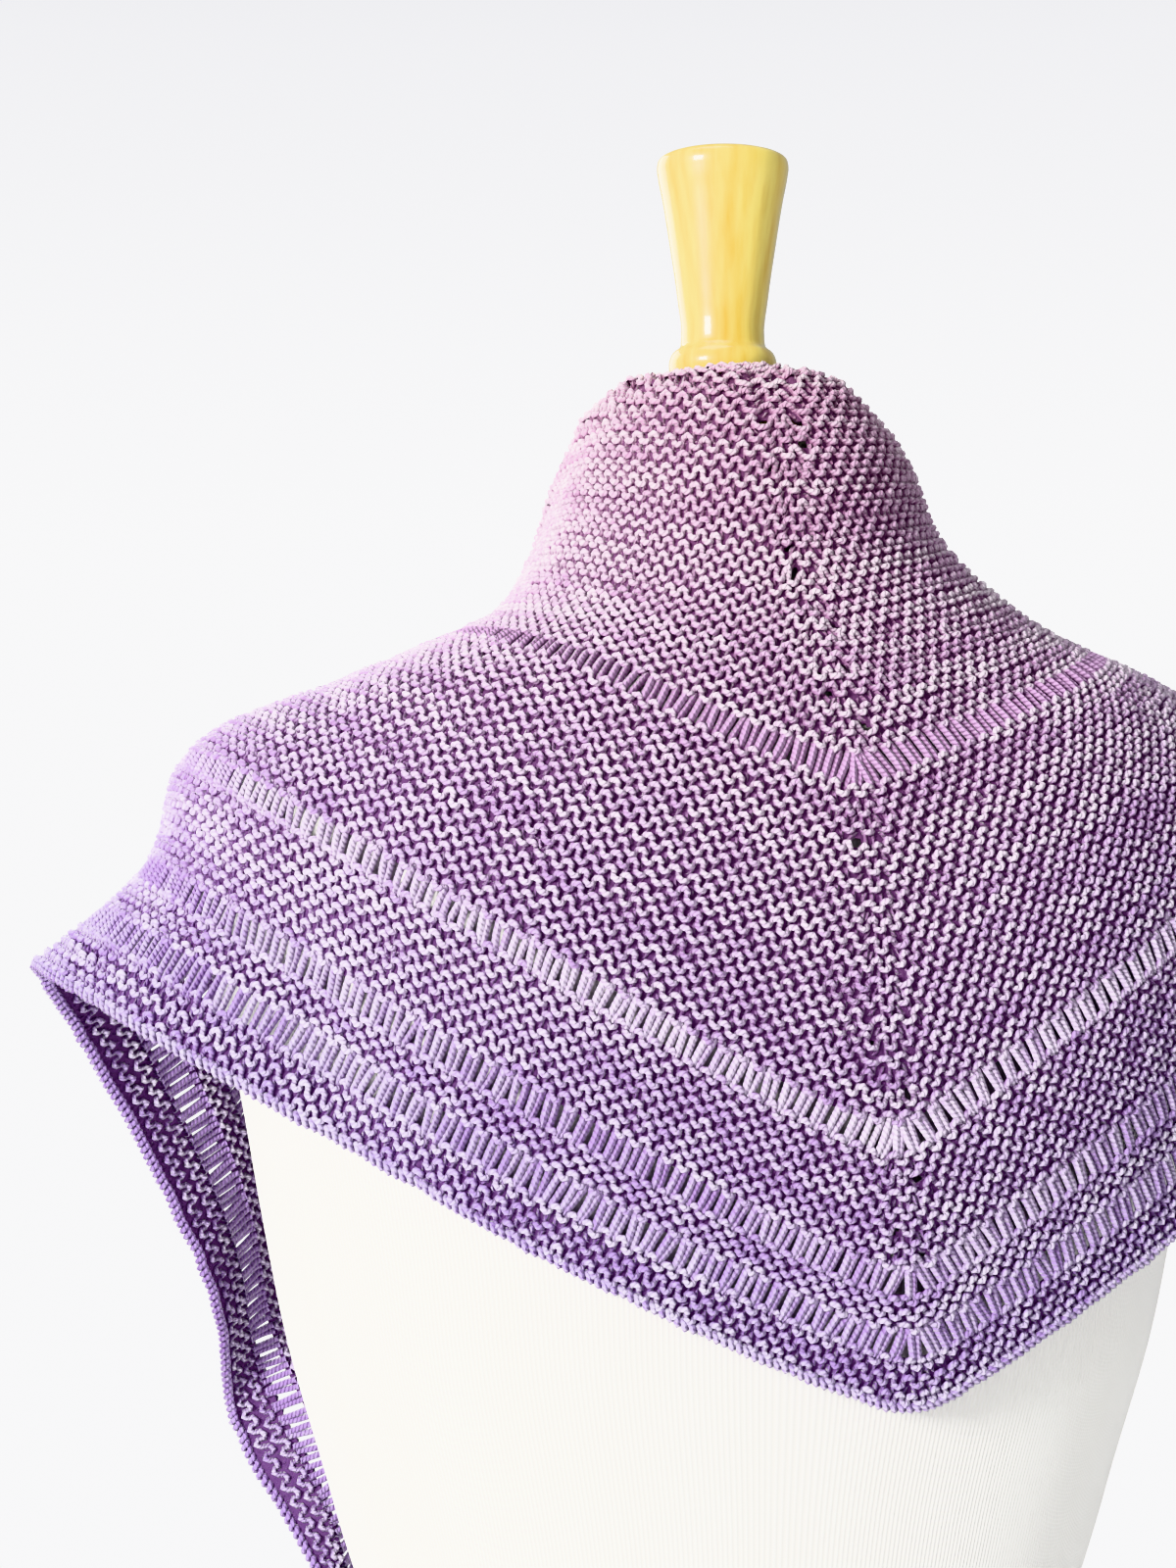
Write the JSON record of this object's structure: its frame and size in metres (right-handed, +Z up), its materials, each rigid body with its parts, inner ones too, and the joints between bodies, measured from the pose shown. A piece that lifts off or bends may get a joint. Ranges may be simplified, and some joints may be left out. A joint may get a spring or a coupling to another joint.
{
  "type": "shawlette on a dress form",
  "caption": "Hand-knit triangular garter-stitch shawlette with openwork bands, draped over a limbless dress form with a turned wood neck cap and a round stand.",
  "frame": {"origin": "centre of the stand's flat underside, on the surface it stands on", "axes": "+Z up along the form; -Y is the form's front, where the wings hang; +Y is its back, where the spine runs; +X is the form's own left side, at the left when it is seen from behind"},
  "size_m": [0.5005, 0.31, 0.9652],
  "materials": {
    "wool": "two-ply hand-dyed wool in garter stitch, rose mauve at the neck to violet at the hem, slight sheen",
    "jersey": "cream fine-ribbed stretch jersey, matte",
    "cap_wood": "turned yellow wood with a clear gloss lacquer",
    "stand_wood": "turned wood with a satin lacquer"
  },
  "bodies": {
    "root": {"shawl_left": "wool", "shawl_right": "wool", "shawl_spine": "wool", "dress_form": "jersey", "neck_cap": "cap_wood", "stand_pole": "stand_wood", "stand_base": "stand_wood"}
  },
  "joints": []
}
